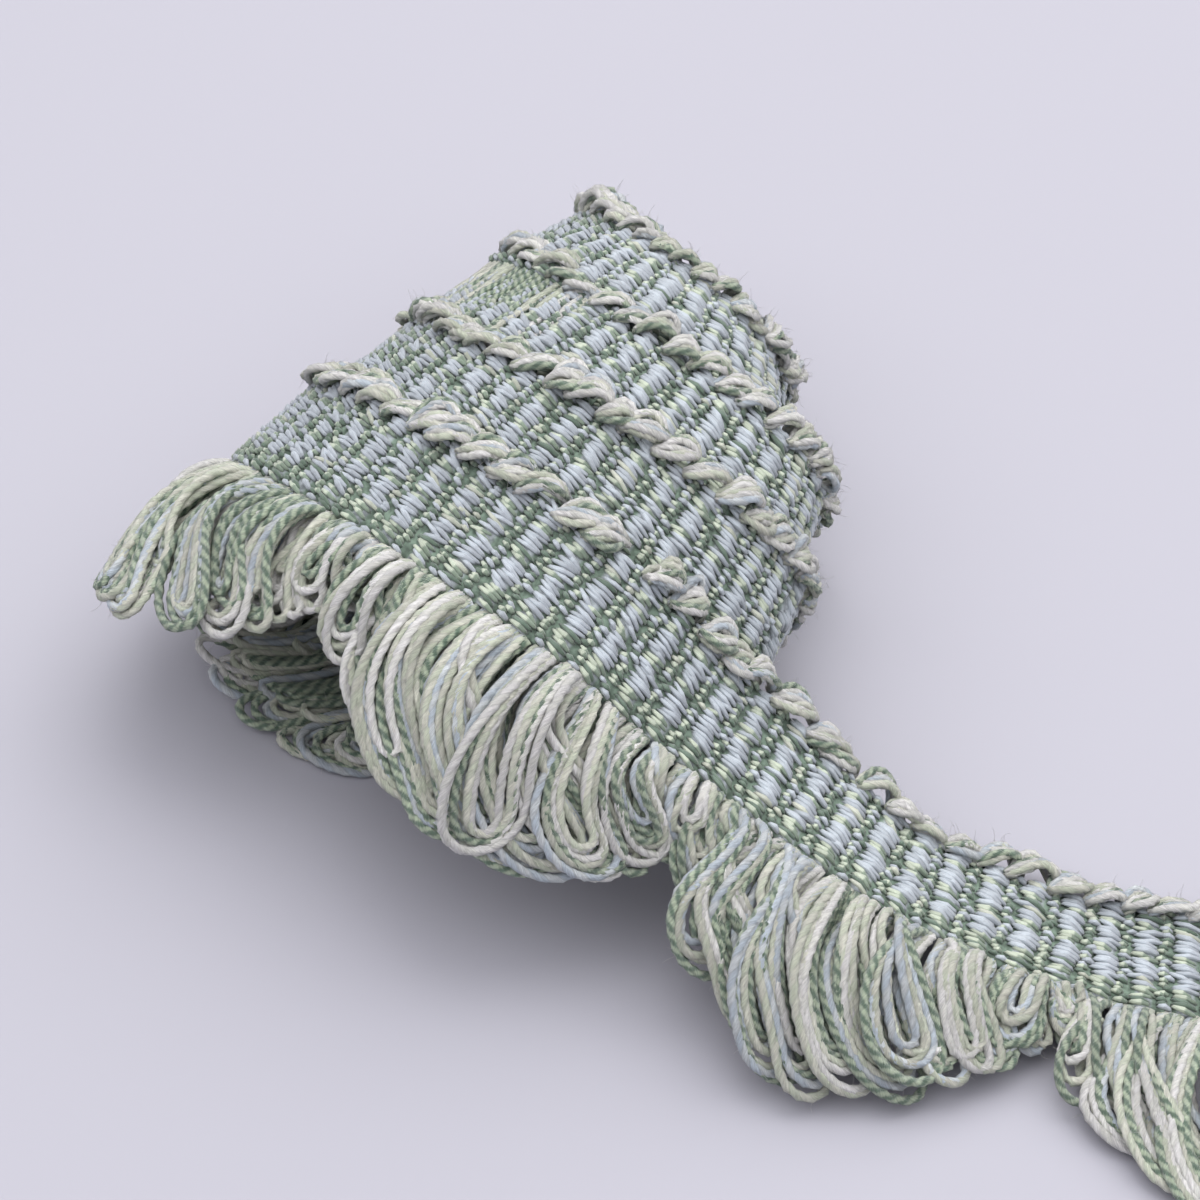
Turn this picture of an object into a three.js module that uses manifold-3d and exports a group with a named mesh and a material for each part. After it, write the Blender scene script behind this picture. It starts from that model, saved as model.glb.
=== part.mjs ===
// Fan edge trim: a ribbed braid with picots along one edge and fans of looped yarn along
// the other, wound about four turns into a leaning roll that lies on its side, with a
// loose end. Millimetres, +Z up. The roll's axis runs along X and its mouth faces -X.
import * as THREE from 'three';
import Module from 'manifold-3d';
import { mergeVertices } from 'three/addons/utils/BufferGeometryUtils.js';

const wasm = await Module();
wasm.setup();

// Braid: the woven heading and the picots that stand along its far edge
const HEADING_WIDTH = 13;
const BRAID_WIDTH = 16;
const BRAID_THICKNESS = 2.4;
const RIB_PITCH = 2.25;
const RIB_RISE = 0.35;
const PICOT_RISE = 0.8;
const GAP = 0.36;
const CLEARANCE = 0.48;
const FINEST_DETAIL = 0.04;

// Wound form: each turn sits on the fringe of the turn inside it, so its wall is thicker
// at the picots, where the next turn runs in under it
const FIRST_TURN = 0.14;
const LAST_TURN = 3.72;
const WALL_AT_PICOTS = 6;
const TURN_PIECE = 0.48;
const LOW_SIDE_HEIGHT = 16.5;
const PICOT_SIDE_HEIGHT = 21.5;
const TOP_LEAN = 8.9;
const FLOOR_LEAN = 4.9;

// Fringe: fans of looped yarn, the long loops near the far notch of each fan
const FAN_PITCH = 43;
const LOOPS_PER_FAN = 10;
const LOOP_PITCH = FAN_PITCH / LOOPS_PER_FAN;
const NOTCH_AT = 19;
const YARN_RADIUS = 0.75;
const LEG_SPREAD = 1.15;
const BACKING_WIDTH = 1.3;
const BACKING_THICKNESS = 2;
const TAIL_LENGTH = 108;
const MOUTH_FRINGE_END = -130;
const SEAM = 1.2;

// Roll by turn: where each ring stands along the roll's axis, and then each edge's ring by
// its middle and half width along Y, the height of its top and its height at the floor
const RINGS = [
  { at: 0, x: -26.5 },
  { at: 1, x: -12.3 },
  { at: 2, x: 1.9 },
  { at: 3, x: 17 },
  { at: 3.75, x: 22.5 },
];
const LOW_EDGE = [
  { at: 0, mid: 1, half: 34, top: 33.2, floor: 0.4 },
  { at: 1, mid: 2, half: 31, top: 34.3, floor: 0.45 },
  { at: 2, mid: 4, half: 27.5, top: 34.3, floor: 1 },
  { at: 3, mid: 9, half: 21, top: 34, floor: 1.8 },
  { at: 3.75, mid: 11.5, half: 17.5, top: 33, floor: 3.5 },
];
const PICOT_EDGE = [
  { at: 0, mid: 0.8, half: 31.6, top: 38.5, floor: 0.85 },
  { at: 1, mid: 1, half: 27, top: 37.2, floor: 0.9 },
  { at: 2, mid: 4, half: 22.8, top: 33.8, floor: 1.6 },
  { at: 3, mid: 10.3, half: 12.8, top: 31.5, floor: 4.5 },
  { at: 3.75, mid: 12, half: 10, top: 28.5, floor: 7.5 },
];

// Loose end by its length: top face at the braid's lower edge and at its picot edge
const LOOSE_END = [
  { at: 0, lowX: -31.4, lowY: -20, lowZ: 29.5, picotX: -16.2, picotY: -18.9, picotZ: 34.3 },
  { at: 10.7, lowX: -29.5, lowY: -28.5, lowZ: 22.8, picotX: -13.7, picotY: -26.7, picotZ: 26.2 },
  { at: 21.3, lowX: -27.5, lowY: -36.8, lowZ: 17.6, picotX: -12.1, picotY: -33.7, picotZ: 18.2 },
  { at: 32, lowX: -25.9, lowY: -46, lowZ: 13, picotX: -10.4, picotY: -42.3, picotZ: 11.1 },
  { at: 42.6, lowX: -23.9, lowY: -55.6, lowZ: 9, picotX: -8.9, picotY: -50.9, picotZ: 6.1 },
  { at: 53.3, lowX: -20.8, lowY: -65.3, lowZ: 5.8, picotX: -6.3, picotY: -59.4, picotZ: 3.4 },
  { at: 64, lowX: -17.2, lowY: -75.1, lowZ: 3.5, picotX: -3.3, picotY: -67.3, picotZ: 2.5 },
  { at: 74.6, lowX: -12.5, lowY: -84.2, lowZ: 2.4, picotX: 0.8, picotY: -75, picotZ: 2.4 },
  { at: 109, lowX: 4, lowY: -114, lowZ: 2.4, picotX: 17.6, picotY: -105.6, picotZ: 2.4 },
];

// Loop length along one fan, as a share of the longest, from the far notch to the near one
const FAN_OUTLINE = [
  { at: 0, share: 0.3 },
  { at: 0.12, share: 0.7 },
  { at: 0.25, share: 1 },
  { at: 0.48, share: 0.95 },
  { at: 0.72, share: 0.64 },
  { at: 0.88, share: 0.4 },
  { at: 1, share: 0.28 },
];

// One loop by its two legs: share of the way out, and side in units of LEG_SPREAD
const LOOP_ROUTE = [
  { share: 0, side: 1 },
  { share: 0.35, side: 1.05 },
  { share: 0.85, side: 1.1 },
  { share: 1, side: 0 },
  { share: 0.85, side: -1.1 },
  { share: 0.35, side: -1.05 },
  { share: 0, side: -1 },
];

// Where the tip of a longest loop ends up, from its root, by place along the braid: the
// fringe lies flat below zero, falls over the mouth near zero and lies flat at the end
const HANG = [
  { at: -130, x: -24, y: -3, z: 0 },
  { at: -100, x: -24, y: 2, z: 0 },
  { at: -80, x: -24, y: 5, z: -1 },
  { at: -67, x: -24, y: 3, z: -2 },
  { at: -55, x: -23, y: 0, z: 0 },
  { at: -40, x: -20, y: -4, z: -6 },
  { at: -24, x: -19, y: -10, z: -13 },
  { at: -12, x: -17, y: -11, z: -14 },
  { at: 0, x: -13, y: -14, z: -17 },
  { at: 24, x: -18, y: -11, z: -14 },
  { at: 45, x: -17, y: -14, z: -6 },
  { at: 62, x: -18, y: -16, z: -3 },
  { at: 75, x: -19, y: -17, z: 0 },
  { at: 109, x: -19, y: -17, z: 0 },
];

// Sides on which the loose end stands clear of the roll that it passes over
const CLEAR = [
  { x: -CLEARANCE, y: 0, z: 0 },
  { x: 0, y: -CLEARANCE, z: 0 },
  { x: 0, y: 0, z: CLEARANCE },
  { x: 0, y: -CLEARANCE * 0.75, z: CLEARANCE * 0.75 },
  { x: -CLEARANCE * 0.75, y: 0, z: CLEARANCE * 0.75 },
  { x: -CLEARANCE * 0.75, y: -CLEARANCE * 0.75, z: 0 },
  { x: -CLEARANCE * 0.6, y: -CLEARANCE * 0.6, z: CLEARANCE * 0.6 },
  { x: CLEARANCE * 0.75, y: 0, z: CLEARANCE * 0.75 },
  { x: CLEARANCE * 0.6, y: -CLEARANCE * 0.6, z: CLEARANCE * 0.6 },
];

// A smooth curve through a table's values
function smooth(rows, key, at) {
  let i = 0;
  while (i < rows.length - 2 && at > rows[i + 1].at) i += 1;
  const slope = (k) => {
    const a = rows[Math.max(k - 1, 0)];
    const b = rows[Math.min(k + 1, rows.length - 1)];
    return (b[key] - a[key]) / (b.at - a.at);
  };
  const span = rows[i + 1].at - rows[i].at;
  const u = THREE.MathUtils.clamp((at - rows[i].at) / span, 0, 1);
  const rise = u * u * (3 - 2 * u);
  const start = u * (1 - u) * (1 - u) * span * slope(i);
  const end = u * u * (u - 1) * span * slope(i + 1);
  return rows[i][key] * (1 - rise) + rows[i + 1][key] * rise + start + end;
}

// Both edges of the wound braid at a place counted in turns
function ringEdges(turn) {
  const angle = 2 * Math.PI * turn;
  const lift = Math.sin(angle);
  const edge = (rows, sideHeight) => {
    const top = smooth(rows, 'top', turn);
    const floor = smooth(rows, 'floor', turn);
    const y = smooth(rows, 'mid', turn) - smooth(rows, 'half', turn) * Math.cos(angle);
    return { y, z: sideHeight + lift * (lift > 0 ? top - sideHeight : sideHeight - floor) };
  };
  const low = edge(LOW_EDGE, LOW_SIDE_HEIGHT);
  const picot = edge(PICOT_EDGE, PICOT_SIDE_HEIGHT);
  const x = smooth(RINGS, 'x', turn) - lift * (lift > 0 ? TOP_LEAN : FLOOR_LEAN);
  const drop = (picot.y - low.y) ** 2 + (picot.z - low.z) ** 2;
  const reach = Math.sqrt(BRAID_WIDTH ** 2 - drop);
  return {
    low: new THREE.Vector3(x, low.y, low.z),
    picot: new THREE.Vector3(x + reach, picot.y, picot.z),
  };
}

// Length of the wound braid's lower edge up to each of many even steps
const STEPS = 1200;
const woundLengths = [0];
const turnAtStep = (step) => FIRST_TURN + ((LAST_TURN - FIRST_TURN) * step) / STEPS;
for (let step = 1; step <= STEPS; step += 1) {
  const from = ringEdges(turnAtStep(step - 1)).low;
  woundLengths.push(woundLengths[step - 1] + from.distanceTo(ringEdges(turnAtStep(step)).low));
}

// The turn at a length of wound braid, measured back from where the loose end leaves
function turnAt(length) {
  const last = woundLengths.findIndex((passed) => passed >= length);
  if (last === -1) return LAST_TURN;
  if (last === 0) return FIRST_TURN;
  const share = (length - woundLengths[last - 1]) / (woundLengths[last] - woundLengths[last - 1]);
  return turnAtStep(last - 1 + share);
}

function looseEdges(length) {
  const point = (name) => new THREE.Vector3(
    smooth(LOOSE_END, `${name}X`, length),
    smooth(LOOSE_END, `${name}Y`, length),
    smooth(LOOSE_END, `${name}Z`, length),
  );
  return { low: point('low'), picot: point('picot') };
}

// The braid at a place along it: below zero on the roll, above zero on the loose end
function braidAt(place) {
  const edges = (at) => (at < 0 ? ringEdges(turnAt(-at)) : looseEdges(at));
  const step = 0.4;
  const { low, picot } = edges(place);
  const along = edges(place + step).low.sub(edges(place - step).low).normalize();
  const across = picot.clone().sub(low);
  across.addScaledVector(along, -across.dot(along)).normalize();
  const out = along.clone().cross(across);
  return { low, along, across, out };
}

// A point of the braid's own section, kept on or above the floor
function sectionPoint(braid, across, out) {
  const point = braid.low.clone();
  point.addScaledVector(braid.across, across).addScaledVector(braid.out, out);
  point.z = Math.max(point.z, 0);
  return point;
}

// A closed solid from a run of sections that all have the same number of points
function sweep(sections) {
  const count = sections[0].length;
  const positions = sections.flat().flatMap((point) => [point.x, point.y, point.z]);
  const index = [];
  for (let s = 0; s < sections.length - 1; s += 1) {
    for (let k = 0; k < count; k += 1) {
      const a = s * count + k;
      const b = s * count + ((k + 1) % count);
      index.push(a, b, b + count, a, b + count, a + count);
    }
  }
  const end = (sections.length - 1) * count;
  for (let k = 1; k < count - 1; k += 1) {
    index.push(0, k + 1, k, end, end + k, end + k + 1);
  }
  const geometry = new THREE.BufferGeometry();
  geometry.setAttribute('position', new THREE.Float32BufferAttribute(positions, 3));
  geometry.setIndex(index);
  return geometry;
}

function bare(geometry) {
  const shape = geometry.clone();
  shape.deleteAttribute('normal');
  shape.deleteAttribute('uv');
  return shape;
}

// Between a three.js geometry and a solid that can be joined and cut
function toSolid(geometry) {
  const merged = mergeVertices(bare(geometry), 1e-3);
  const mesh = new wasm.Mesh({
    numProp: 3,
    vertProperties: new Float32Array(merged.attributes.position.array),
    triVerts: new Uint32Array(merged.index.array),
  });
  const solid = new wasm.Manifold(mesh);
  return solid.volume() < 0 ? toSolid(turnedInsideOut(merged)) : solid;
}

function turnedInsideOut(geometry) {
  const turned = geometry.clone();
  const order = Array.from(geometry.index.array);
  for (let k = 0; k < order.length; k += 3) {
    [order[k + 1], order[k + 2]] = [order[k + 2], order[k + 1]];
  }
  turned.setIndex(order);
  return turned;
}

function toGeometry(solid) {
  const mesh = solid.getMesh();
  const geometry = new THREE.BufferGeometry();
  geometry.setAttribute('position', new THREE.Float32BufferAttribute(mesh.vertProperties, 3));
  geometry.setIndex(Array.from(mesh.triVerts));
  const faceted = geometry.toNonIndexed();
  faceted.computeVertexNormals();
  return faceted;
}

function joined(solids) {
  return solids.reduce((whole, solid) => whole.add(solid));
}

// The main body of a solid with slivers smoothed away and any closed pocket filled
function tidied(solid) {
  const rough = toSolid(toGeometry(solid.simplify(FINEST_DETAIL)));
  const bodies = rough.decompose().sort((a, b) => b.volume() - a.volume());
  return bodies[0];
}

// The raised shape of the braid's face: ribs across it and a picot on every second rib
function braidRelief(place) {
  const half = Math.round((2 * place) / RIB_PITCH);
  const rib = half % 2 === 0 ? RIB_RISE : 0;
  const picot = Math.abs(half % 4) === 0 ? PICOT_RISE : -PICOT_RISE / 2;
  return { rib, picot };
}

function braidSection(place, thickness, wall) {
  const braid = braidAt(place);
  const { rib, picot } = braidRelief(place);
  return [
    sectionPoint(braid, 0, rib),
    sectionPoint(braid, HEADING_WIDTH, rib),
    sectionPoint(braid, BRAID_WIDTH, picot),
    sectionPoint(braid, BRAID_WIDTH - 0.6, -wall),
    sectionPoint(braid, 0.3, -thickness),
  ];
}

function braidSections(from, to, thickness, wall) {
  const step = RIB_PITCH / 2;
  const sections = [];
  for (let k = Math.round(from / step); k <= Math.round(to / step); k += 1) {
    sections.push(braidSection(k * step, thickness, wall));
  }
  return sections;
}

// Roll: half turns of the braid joined into one wound solid
function woundBraid() {
  const woundLength = woundLengths[STEPS];
  const pieces = Math.ceil((LAST_TURN - FIRST_TURN) / TURN_PIECE);
  const pieceLength = woundLength / pieces;
  const solids = [];
  for (let piece = 0; piece < pieces; piece += 1) {
    const from = -(piece + 1) * pieceLength;
    const to = Math.min(-piece * pieceLength + RIB_PITCH, -GAP);
    solids.push(toSolid(sweep(braidSections(from, to, BRAID_THICKNESS, WALL_AT_PICOTS))));
  }
  return tidied(joined(solids));
}

// A solid less the room that another takes, with a gap toward each side named in CLEAR
function clearOf(solid, other) {
  return CLEAR.reduce((rest, { x, y, z }) => rest.subtract(other.translate(x, y, z)), solid);
}

function looseBraid(roll) {
  const sections = braidSections(RIB_PITCH / 2, TAIL_LENGTH, BRAID_THICKNESS, BRAID_THICKNESS);
  return tidied(clearOf(toSolid(sweep(sections)), roll));
}

// A point of a loop: `share` of the way from its root to its tip, `side` along the braid
function loopPoint(place, share, side) {
  const braid = braidAt(place);
  const fanShare = THREE.MathUtils.euclideanModulo((place - NOTCH_AT) / FAN_PITCH, 1);
  const tip = new THREE.Vector3(
    smooth(HANG, 'x', place),
    smooth(HANG, 'y', place),
    smooth(HANG, 'z', place),
  ).multiplyScalar(smooth(FAN_OUTLINE, 'share', fanShare));
  const point = braid.low.clone();
  point.addScaledVector(braid.out, -BRAID_THICKNESS / 2);
  point.addScaledVector(braid.across, -GAP - BACKING_WIDTH / 2 - tip.length() * share * (1 - share));
  point.addScaledVector(braid.along, side);
  point.addScaledVector(tip, share * share);
  point.z = Math.max(point.z, YARN_RADIUS / 2);
  return point;
}

// One loop of the fringe: out along one leg, round the tip and back along the other
function yarnLoop(place) {
  const centres = LOOP_ROUTE.map(({ share, side }) => loopPoint(place, share, side * LEG_SPREAD));
  const { out } = braidAt(place);
  const sections = centres.map((centre, k) => {
    const before = centres[Math.max(k - 1, 0)];
    const after = centres[Math.min(k + 1, centres.length - 1)];
    const ahead = after.clone().sub(before).normalize();
    const sideways = ahead.clone().cross(out).normalize();
    const upward = sideways.clone().cross(ahead);
    return [0, 1, 2].map((corner) => {
      const angle = Math.PI / 2 + (corner * 2 * Math.PI) / 3;
      const point = centre.clone();
      point.addScaledVector(sideways, YARN_RADIUS * Math.cos(angle));
      point.addScaledVector(upward, YARN_RADIUS * Math.sin(angle));
      point.z = Math.max(point.z, 0);
      return point;
    });
  });
  return toSolid(sweep(sections));
}

// The narrow strip that carries the roots of the loops, just off the braid's edge
function backing(from, to) {
  const sections = [];
  const count = Math.ceil((to - from) / LOOP_PITCH);
  for (let k = 0; k <= count; k += 1) {
    const braid = braidAt(from + ((to - from) * k) / count);
    sections.push([
      sectionPoint(braid, -GAP - BACKING_WIDTH, 0),
      sectionPoint(braid, -GAP, 0),
      sectionPoint(braid, -GAP, -BACKING_THICKNESS),
      sectionPoint(braid, -GAP - BACKING_WIDTH, -BACKING_THICKNESS),
    ]);
  }
  return toSolid(sweep(sections));
}

function fringe(from, to) {
  const solids = [backing(from, to)];
  const first = Math.ceil((from - NOTCH_AT) / LOOP_PITCH);
  for (let k = first; NOTCH_AT + (k + 0.5) * LOOP_PITCH < to - LEG_SPREAD - YARN_RADIUS; k += 1) {
    const place = NOTCH_AT + (k + 0.5) * LOOP_PITCH;
    if (place > from + LEG_SPREAD + YARN_RADIUS) solids.push(yarnLoop(place));
  }
  return tidied(joined(solids));
}

// Materials
const braidLook = new THREE.MeshStandardMaterial({ color: 0x8fa39f, roughness: 0.92, metalness: 0 });
const fringeLook = new THREE.MeshStandardMaterial({ color: 0xb9c3b4, roughness: 0.95, metalness: 0 });

function named(name, solid, material) {
  const mesh = new THREE.Mesh(toGeometry(solid), material);
  mesh.name = name;
  return mesh;
}

const roll = woundBraid();
const trim = new THREE.Group();
trim.add(named('wound_braid', roll, braidLook));
trim.add(named('loose_braid', looseBraid(roll), braidLook));
trim.add(named('mouth_fringe', fringe(MOUTH_FRINGE_END, -SEAM), fringeLook));
trim.add(named('loose_fringe', fringe(SEAM, TAIL_LENGTH), fringeLook));

// Stand the trim with the middle of its outline over the origin
const outline = new THREE.Box3().setFromObject(trim);
const middle = outline.getCenter(new THREE.Vector3());
trim.position.set(-middle.x, -middle.y, -outline.min.z);

const model = new THREE.Group();
model.add(trim);

export default model;
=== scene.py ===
# Fan edge trim, wound into a leaning roll with a loose end. Sizes are in millimetres until a
# mesh is made, and every place along the trim is a length from where the loose end leaves
# the roll: below zero on the roll, above zero on the loose end.
import math

import bpy
import numpy as np
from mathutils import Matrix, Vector


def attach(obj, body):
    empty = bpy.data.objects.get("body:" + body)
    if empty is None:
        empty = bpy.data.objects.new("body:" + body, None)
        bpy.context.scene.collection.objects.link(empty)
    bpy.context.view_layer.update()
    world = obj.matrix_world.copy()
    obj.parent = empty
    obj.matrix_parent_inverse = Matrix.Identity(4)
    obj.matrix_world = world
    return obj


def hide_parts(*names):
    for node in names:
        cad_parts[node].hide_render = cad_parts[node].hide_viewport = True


MM = 0.001

# The part's own sizes, as in its CAD model
HEADING_WIDTH = 13.0
BRAID_WIDTH = 16.0
FIRST_TURN = 0.14
LAST_TURN = 3.72
LOW_SIDE_HEIGHT = 16.5
PICOT_SIDE_HEIGHT = 21.5
TOP_LEAN = 8.9
FLOOR_LEAN = 4.9
FAN_PITCH = 43.0
NOTCH_AT = 19.0
TAIL_LENGTH = 108.0
FROM_CAD_AXES = np.array([3.975, 40.09, 0.0])

# Weave: pairs of a thick rib and a thin rib, crossed by floats of the long yarns
PAIR_PITCH = 4.5
THICK_RIB = 2.75
PICOT_PITCH = 4.1
FLOAT_PITCH = 0.5

# A float's length, width and height, and how deep its middle lies, on each kind of rib
THICK_RIB_FLOAT = (3.5, 0.68, 0.8, -0.34)
THIN_RIB_FLOAT = (1.7, 0.64, 0.72, -0.42)

# Green and lime floats are this share as long and as high as the others, and a share of all
# the floats draw their yarn at random
GREEN_FLOAT_SHARE = 0.82
SWAPPED_FLOATS = 0.14

# The web under the floats: how deep its face lies, how high its ribs stand, and its thickness
WEB_DEPTH = -0.7
THICK_RIB_HEIGHT = 0.5
THIN_RIB_HEIGHT = 0.25
WEB_THICKNESS = 1.3
WEB_COLUMNS = 7
WEB_STEPS_PER_PAIR = 8

# Yarn of each float across the braid, from the fringe: blue, green or lime by first letter
THICK_ROWS = "lglllbbbbbbbllbbbbbbllbbbb"
THIN_ROWS = "bglllgllblbgblglglgblblglb"

# How each kind of yarn is spun: its radius, the step between its sections, the sides and
# flatness of a section, and the length of one turn of its twist
YARN_RADIUS = 0.56
FAN_SPIN = {"radius": YARN_RADIUS, "step": 0.75, "sides": 6, "flatness": 0.8, "pitch": 3.2}
TUCKED_SPIN = {"radius": YARN_RADIUS, "step": 1.2, "sides": 5, "flatness": 0.74, "pitch": 12.0}
PICOT_SPIN = {"radius": 0.5, "step": 0.85, "sides": 5, "flatness": 0.85, "pitch": 3.0}
HAIR_SPIN = {"radius": 0.03, "step": 0.45, "sides": 3, "flatness": 0.74, "pitch": 2.7}

# Loops of the fringe: a loop's bow and its widest half are shares of its length, and some
# loops cross where they leave the braid
LOOPS_PER_FAN = 13
YARNS_PER_LOOP = 6
LEG_STEPS = 18
LOOP_BOW = 0.12
WIDEST_LOOP = 0.34
CROSSED_LOOPS = 0.3

# The plain fringe inside the roll, and the picots
TUCKED_PITCH = 2.2
TUCKED_LENGTH = 12.0
TUCKED_END = -152
PICOT_YARNS = 7

# The roll by turn: where each ring stands along its axis, then the ring of each edge by its
# middle, its half width and the heights of its top and its lowest point
RINGS = {"turn": [0, 1, 2, 3, 3.75], "x": [-26.5, -12.3, 1.9, 17, 22.5]}
LOW_EDGE = {
    "turn": [0, 1, 2, 3, 3.75],
    "middle": [1, 2, 4, 9, 11.5],
    "half": [34, 31, 27.5, 21, 17.5],
    "top": [33.2, 34.3, 34.3, 34, 33],
    "floor": [0.4, 0.45, 1, 1.8, 3.5],
}
PICOT_EDGE = {
    "turn": [0, 1, 2, 3, 3.75],
    "middle": [0.8, 1, 4, 10.3, 12],
    "half": [31.6, 27, 22.8, 12.8, 10],
    "top": [38.5, 37.2, 33.8, 31.5, 28.5],
    "floor": [0.85, 0.9, 1.6, 4.5, 7.5],
}

# Both edges of the loose end by place along it
LOOSE_END = {
    "place": [0, 10.7, 21.3, 32, 42.6, 53.3, 64, 74.6, 109],
    "low_x": [-31.4, -29.5, -27.5, -25.9, -23.9, -20.8, -17.2, -12.5, 4],
    "low_y": [-20, -28.5, -36.8, -46, -55.6, -65.3, -75.1, -84.2, -114],
    "low_z": [29.5, 22.8, 17.6, 13, 9, 5.8, 3.5, 2.4, 2.4],
    "picot_x": [-16.2, -13.7, -12.1, -10.4, -8.9, -6.3, -3.3, 0.8, 17.6],
    "picot_y": [-18.9, -26.7, -33.7, -42.3, -50.9, -59.4, -67.3, -75, -105.6],
    "picot_z": [34.3, 26.2, 18.2, 11.1, 6.1, 3.4, 2.5, 2.4, 2.4],
}

# Where each fan starts and ends along the trim; the first four are on the roll
FANS = {
    "inner_fan": (-151, -110),
    "floor_fan": (-110, -67),
    "far_fan": (-67, -24),
    "front_fan": (-24, 19),
    "loose_fan": (19, 62),
    "end_fan": (62, 105),
}
WOUND_FANS = 4

# Loop length along one fan as a share of the longest, from its far notch to its near one
FAN_OUTLINE = {
    "at": [0, 0.12, 0.25, 0.48, 0.72, 0.88, 1],
    "share": [0.36, 0.75, 1, 0.95, 0.66, 0.42, 0.3],
}

# Where the tip of a longest loop ends up, from its root, by place along the braid
HANG = {
    "place": [-151, -130, -100, -80, -67, -55, -40, -24, -12, 0, 24, 45, 62, 75, 109],
    "x": [-18, -24, -26, -26, -23, -22, -22.5, -19, -17, -13, -18, -17, -18, -19, -19],
    "y": [9, 0, 4, 8, 4, 0.5, -1, -10, -11, -14, -11, -14, -16, -17, -17],
    "z": [-6, 0, 0, -1, -2, -1, -7, -13, -14, -17, -14, -6, -3, 0, 0],
}

# Yarns by shade number, with a spread within which each yarn has its own brightness
SHADES = 5
WHITE, BEIGE, BLUE, GREEN, LIME = 0.1, 0.3, 0.5, 0.7, 0.9
SHADE_SPREAD = 0.08
YARN_OF = {"e": BEIGE, "b": BLUE, "g": GREEN, "l": LIME}

# Linear colours in the order of the shades; the fringe's green is flecked and has its own two
DARK_GREEN = (0.15, 0.22, 0.16)
LIME_FLECK = (0.50, 0.58, 0.43)
FLECK_LENGTH = 0.8
FRINGE_COLOURS = [(0.88, 0.86, 0.84), (0.74, 0.74, 0.63), (0.57, 0.64, 0.71)]
FRINGE_SECOND_COLOURS = [(0.84, 0.83, 0.78), (0.65, 0.69, 0.55), (0.70, 0.74, 0.76)]
FLOAT_COLOURS = [
    (0.64, 0.68, 0.72),
    (0.62, 0.64, 0.54),
    (0.56, 0.61, 0.66),
    (0.18, 0.24, 0.19),
    (0.60, 0.66, 0.53),
]
FLOAT_SECOND_COLOURS = [
    (0.55, 0.60, 0.63),
    (0.55, 0.58, 0.48),
    (0.50, 0.54, 0.59),
    (0.15, 0.21, 0.16),
    (0.28, 0.35, 0.27),
]
GROUND_BETWEEN_RIBS = (0.17, 0.23, 0.18)
GROUND_ON_RIBS = (0.34, 0.37, 0.39)

# The white teardrop loop that lies over the fan in front
TEARDROP_AT = -2.0
TEARDROP_YARNS = [WHITE, BEIGE, GREEN, WHITE, WHITE]


def smooth(rows, at, key, values):
    """A smooth curve through a table's column, at many places at once."""
    x = np.array(rows[at], float)
    y = np.array(rows[key], float)
    values = np.asarray(values, float)
    slope = np.gradient(y, x)
    slope[1:-1] = (y[2:] - y[:-2]) / (x[2:] - x[:-2])
    i = np.clip(np.searchsorted(x, values, side="left") - 1, 0, len(x) - 2)
    span = x[i + 1] - x[i]
    u = np.clip((values - x[i]) / span, 0, 1)
    rise = u * u * (3 - 2 * u)
    start = u * (1 - u) ** 2 * span * slope[i]
    end = u * u * (u - 1) * span * slope[i + 1]
    return y[i] * (1 - rise) + y[i + 1] * rise + start + end


def ring_edges(turn):
    """Both edges of the wound braid at places counted in turns."""
    angle = 2 * np.pi * turn
    lift = np.sin(angle)
    edges = []
    for rows, side in ((LOW_EDGE, LOW_SIDE_HEIGHT), (PICOT_EDGE, PICOT_SIDE_HEIGHT)):
        top = smooth(rows, "turn", "top", turn)
        floor = smooth(rows, "turn", "floor", turn)
        middle = smooth(rows, "turn", "middle", turn)
        y = middle - smooth(rows, "turn", "half", turn) * np.cos(angle)
        edges.append((y, side + lift * np.where(lift > 0, top - side, side - floor)))
    x = smooth(RINGS, "turn", "x", turn) - lift * np.where(lift > 0, TOP_LEAN, FLOOR_LEAN)
    (y_low, z_low), (y_picot, z_picot) = edges
    reach = np.sqrt(BRAID_WIDTH ** 2 - (y_picot - y_low) ** 2 - (z_picot - z_low) ** 2)
    return np.stack([x, y_low, z_low], -1), np.stack([x + reach, y_picot, z_picot], -1)


TURN_STEPS = np.linspace(FIRST_TURN, LAST_TURN, 1601)
WOUND_LENGTHS = np.concatenate(
    [[0], np.cumsum(np.linalg.norm(np.diff(ring_edges(TURN_STEPS)[0], axis=0), axis=1))]
)
WOUND_LENGTH = float(WOUND_LENGTHS[-1])


def strip_edges(place):
    """Both edges of the braid at places along the whole trim."""
    place = np.asarray(place, float)
    low, picot = ring_edges(np.interp(-place, WOUND_LENGTHS, TURN_STEPS))
    for edge, name in ((low, "low"), (picot, "picot")):
        loose = [smooth(LOOSE_END, "place", f"{name}_{axis}", place) for axis in "xyz"]
        edge[place > 0] = np.stack(loose, -1)[place > 0]
    return low, picot


def unit(vectors):
    return vectors / np.linalg.norm(vectors, axis=-1, keepdims=True)


def strip_frames(place):
    """The braid's low edge and its directions: along it, across it and out of its face."""
    place = np.asarray(place, float)
    low, picot = strip_edges(place)
    half_step = 0.4
    along = unit(strip_edges(place + half_step)[0] - strip_edges(place - half_step)[0])
    across = picot - low
    across = unit(across - along * (across * along).sum(-1, keepdims=True))
    return low, along, across, np.cross(along, across)


def strip_points(place, across, out):
    """Points at places along the braid, lengths across it and heights off its face."""
    low, _, across_way, out_way = strip_frames(place)
    return low + across_way * np.asarray(across)[..., None] + out_way * np.asarray(out)[..., None]


def above_floor(points, height):
    """Lifts the points that would sink into the table."""
    points[..., 2] = np.maximum(points[..., 2], height)
    return points


def to_row(points):
    """From the trim's own axes in millimetres to the row frame in metres."""
    return (points + FROM_CAD_AXES) * MM


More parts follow.
